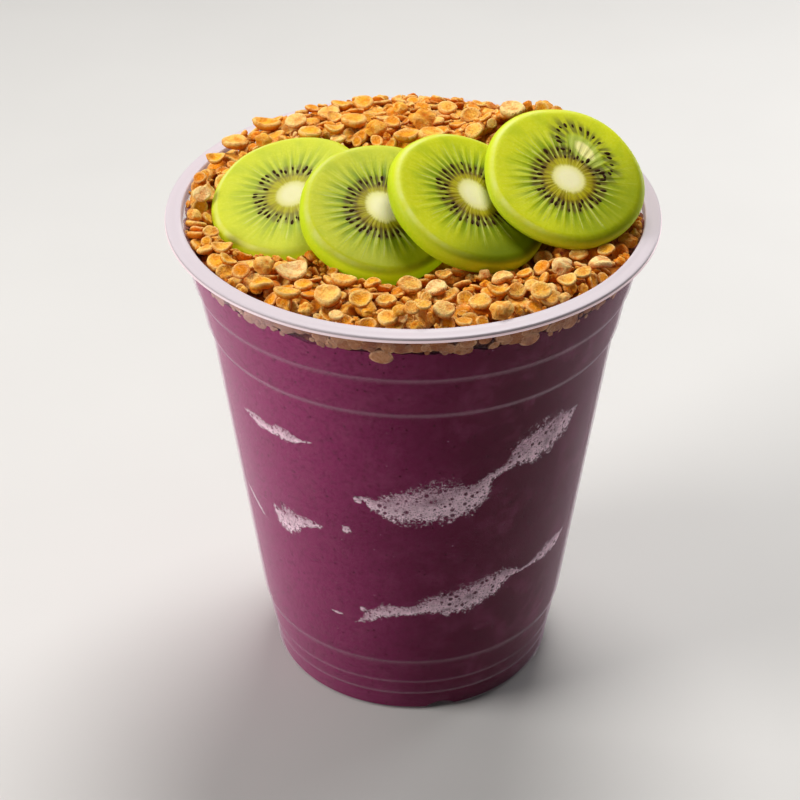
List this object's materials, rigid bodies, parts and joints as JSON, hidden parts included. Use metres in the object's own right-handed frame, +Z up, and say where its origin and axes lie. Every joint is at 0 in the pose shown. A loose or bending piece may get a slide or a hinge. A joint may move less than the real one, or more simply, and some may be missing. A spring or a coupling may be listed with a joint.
{
  "type": "acai bowl in a cup",
  "caption": "Clear ribbed cup filled with purple acai, topped with a heap of round oat granola and shingled kiwi slices.",
  "frame": {"origin": "on the ground under the middle of the cup's foot", "axes": "+Z up along the cup's axis, +X to the right along the row of kiwi slices, and -Y towards the front that the slices lean to"},
  "size_m": [0.098, 0.098, 0.1243],
  "materials": {
    "cup_plastic": "clear slightly frosted thin plastic",
    "acai": "smooth moist frozen fruit puree with small bubbles",
    "granola": "toasted oat flakes with a thin dry glaze",
    "kiwi": "moist cut fruit"
  },
  "bodies": {
    "root": {"cup": "cup_plastic", "acai": "acai", "granola": "granola", "kiwi_slice_1": "kiwi", "kiwi_slice_2": "kiwi", "kiwi_slice_3": "kiwi", "kiwi_slice_4": "kiwi"}
  },
  "joints": []
}
